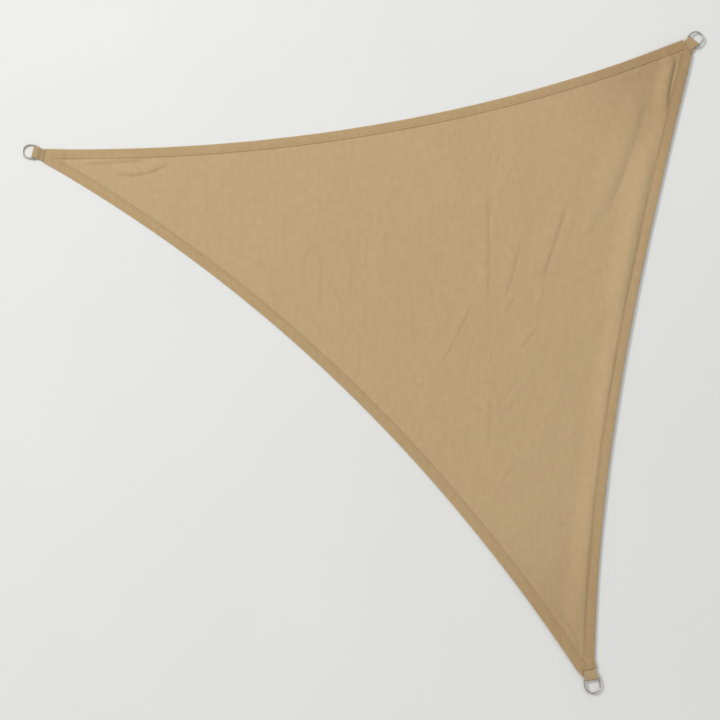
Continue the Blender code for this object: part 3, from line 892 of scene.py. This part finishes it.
def woven_webbing(webbing):
    """Polyester webbing, woven flat on a narrow loom: a chevron of thick yarns and firmer, smoother
    edges, a little glossier than the cloth."""
    material, tree, shader = new_material("woven_polyester_webbing")
    across, along = (add_node(tree, "Attribute", attribute_name=name)["Fac"]
                     for name in ("web_across", "web_along"))
    # The chevron turns every 6 mm across, and its rows are drawn 3 mm apart.
    turned = add_node(tree, "Math", {0: across, 1: 6 * MM}, operation="PINGPONG")[0]
    slant = add_node(tree, "Math", {0: along, 1: turned}, operation="ADD")[0]
    place = add_node(tree, "CombineXYZ", {"X": across, "Y": along})["Vector"]
    colour = uneven(tree, webbing.colour, place, (2 * MM, 25 * MM, 1.0), 0.82, 0.7)
    weave = woven_surface(tree, across, slant, 1.5 * MM, 0.25 * MM)
    feed(tree, shader, {"Base Color": colour, "Normal": weave, "Roughness": 0.72,
                        "Specular IOR Level": 0.35, "Sheen Weight": 0.08})
    return material


def bonded_thread(stitches):
    """Bonded polyester sewing thread, a shade darker than the cloth, with a faint waxy gloss."""
    material, tree, shader = new_material("bonded_polyester_thread")
    place = add_node(tree, "TexCoord")["Object"]
    colour = uneven(tree, stitches.colour, place, (9 * MM, 9 * MM, 9 * MM), 0.7, 0.5)
    feed(tree, shader, {"Base Color": colour, "Roughness": 0.55})
    return material


def polished_steel(rings):
    """Stainless steel wire, drawn, bent and tumbled: a soft, slightly scratched shine."""
    material, tree, shader = new_material("polished_stainless_wire")
    place = add_node(tree, "TexCoord")["Object"]
    scratch = grain(tree, place, (0.4 * MM, 6 * MM, 0.4 * MM), 4)
    rough = add_node(tree, "MapRange", {"Value": scratch, "From Min": 0.3, "From Max": 0.7,
                                        "To Min": 0.3, "To Max": 0.42})["Result"]
    fine = {"Height": scratch, "Distance": 0.02 * MM, "Strength": 0.4}
    feed(tree, shader, {"Base Color": tuple(rings.colour), "Metallic": 1.0, "Roughness": rough,
                        "Normal": add_node(tree, "Bump", fine)["Normal"]})
    return material


def painted_floor(studio):
    """Matt white emulsion on a smooth studio floor: pale and even, with the faintest cloudiness."""
    material, tree, shader = new_material("matt_painted_floor")
    place = add_node(tree, "TexCoord")["Object"]
    colour = uneven(tree, studio.floor_colour, place, (0.9, 0.9, 1.0), 0.975, 1.0)
    feed(tree, shader, {"Base Color": colour, "Roughness": 0.85, "Specular IOR Level": 0.2})
    return material


# Operators


def ready(piece, slot, *nodes):
    """The piece rides on the one body and stands for its CAD nodes; its slot is not used."""
    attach(piece, "root")
    if nodes:
        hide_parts(*nodes)


class SAIL_OT_cloth(bpy.types.Operator):
    """Add the hemmed and creased sail cloth"""
    bl_idname = "sail.cloth"
    bl_label = "Sail Cloth"

    def execute(self, context):
        sail = context.scene.shade_sail
        sheet = cloth_sheet("sail_cloth", sail, woven_cloth(sail.cloth))
        ready(sheet, "woven_cloth", "sail_panel")
        return {"FINISHED"}


class SAIL_OT_corner_loops(bpy.types.Operator):
    """Add the webbing loop at each corner"""
    bl_idname = "sail.corner_loops"
    bl_label = "Webbing Loops"

    def execute(self, context):
        sail = context.scene.shade_sail
        material = woven_webbing(sail.webbing)
        for name, corner in CORNERS.items():
            loop = webbing_loop(f"webbing_{name}", corner, sail, material)
            ready(loop, "webbing", f"corner_loop_{name}")
        return {"FINISHED"}


class SAIL_OT_rings(bpy.types.Operator):
    """Add the D-ring at each corner"""
    bl_idname = "sail.rings"
    bl_label = "D-Rings"

    def execute(self, context):
        sail = context.scene.shade_sail
        material = polished_steel(sail.rings)
        for name, corner in CORNERS.items():
            ready(d_ring(f"ring_{name}", corner, sail, material), "ring_steel", f"d_ring_{name}")
        return {"FINISHED"}


class SAIL_OT_stitches(bpy.types.Operator):
    """Add the stitching along the hems and at the corners"""
    bl_idname = "sail.stitches"
    bl_label = "Stitching"

    def execute(self, context):
        sail = context.scene.shade_sail
        material = bonded_thread(sail.stitches)
        rows = join_lines(hem_stitch_lines(sail), sail.stitches.pitch)
        ready(stitch_mesh("hem_stitching", *rows, sail, material), "woven_cloth")
        for name, corner in CORNERS.items():
            rows = join_lines(corner_stitch_lines(corner, sail.webbing), sail.stitches.pitch)
            ready(stitch_mesh(f"corner_stitching_{name}", *rows, sail, material), "woven_cloth")
        return {"FINISHED"}


class SAIL_OT_declare_cloth(bpy.types.Operator):
    """List what is sewn to the cloth; the list is not used"""
    bl_idname = "sail.declare_cloth"
    bl_label = "Declare Cloth"

    def execute(self, context):
        sewn_on = ["hem_stitching"]
        for name in CORNERS:
            sewn_on += [f"webbing_{name}", f"ring_{name}", f"corner_stitching_{name}"]
        # The cut is a hollow-sided triangle from a 2.65 m by 2.54 m rectangle.
        return {"FINISHED"}


def aim(piece, target):
    """Turns a camera or light to look at a point."""
    piece.rotation_mode = "QUATERNION"
    piece.rotation_quaternion = (Vector(target) - piece.location).to_track_quat("-Z", "Y")


class SAIL_OT_studio(bpy.types.Operator):
    """Add the pale floor, the soft light and the camera"""
    bl_idname = "sail.studio"
    bl_label = "Studio"

    def execute(self, context):
        scene = context.scene
        studio = scene.shade_sail.studio
        half = studio.floor_size / 2
        corners = [(-half, -half, 0), (half, -half, 0), (half, half, 0), (-half, half, 0)]
        floor = new_mesh_object("studio_floor", corners, [(0, 1, 2, 3)], painted_floor(studio))

        world = bpy.data.worlds.new("studio_surroundings")
        world.use_nodes = True
        background = world.node_tree.nodes["Background"]
        background.inputs["Color"].default_value = tuple(studio.world_colour)
        background.inputs["Strength"].default_value = studio.world_strength
        scene.world = world

        for name, power, size, place in (
                ("key_light", studio.key_power, studio.key_size, KEY_PLACE),
                ("fill_light", studio.fill_power, FILL_SIZE, FILL_PLACE)):
            light = bpy.data.lights.new(name, "AREA")
            light.energy = power
            light.size = size
            light_object = bpy.data.objects.new(name, light)
            light_object.location = place
            aim(light_object, (0, 0, 0))
            scene.collection.objects.link(light_object)

        camera = bpy.data.cameras.new("camera")
        camera.lens = studio.lens
        camera.sensor_width = 36
        camera_object = bpy.data.objects.new("camera", camera)
        camera_object.location = CAMERA_PLACE
        aim(camera_object, CAMERA_TARGET)
        scene.collection.objects.link(camera_object)
        scene.camera = camera_object
        scene.view_settings.view_transform = "Standard"
        return {"FINISHED"}


class SAIL_PT_panel(bpy.types.Panel):
    """Lists the sail's settings and the operators that build it"""
    bl_idname = "SAIL_PT_panel"
    bl_label = "Shade Sail"
    bl_space_type = "VIEW_3D"
    bl_region_type = "UI"
    bl_category = "Shade Sail"

    def draw(self, context):
        sail = context.scene.shade_sail
        for title in ("Cloth", "Webbing", "Stitches", "Rings", "Studio"):
            group = getattr(sail, title.lower())
            box = self.layout.box()
            box.label(text=title)
            for name in group.bl_rna.properties.keys():
                if name not in ("rna_type", "name"):
                    box.prop(group, name)
        for operator in OPERATORS:
            self.layout.operator(operator.bl_idname)


SETTINGS = (SailClothSettings, SailWebbingSettings, SailStitchSettings, SailRingSettings,
            SailStudioSettings, ShadeSailSettings)
OPERATORS = (SAIL_OT_studio, SAIL_OT_cloth, SAIL_OT_corner_loops, SAIL_OT_rings, SAIL_OT_stitches,
             SAIL_OT_declare_cloth)


def register():
    for made in SETTINGS + OPERATORS + (SAIL_PT_panel,):
        bpy.utils.register_class(made)
    bpy.types.Scene.shade_sail = PointerProperty(type=ShadeSailSettings)


def unregister():
    del bpy.types.Scene.shade_sail
    for made in reversed(SETTINGS + OPERATORS + (SAIL_PT_panel,)):
        bpy.utils.unregister_class(made)


def main():
    register()
    bpy.ops.sail.studio()
    bpy.ops.sail.cloth()
    bpy.ops.sail.corner_loops()
    bpy.ops.sail.rings()
    bpy.ops.sail.stitches()
    bpy.ops.sail.declare_cloth()


if __name__ == "__main__":
    main()
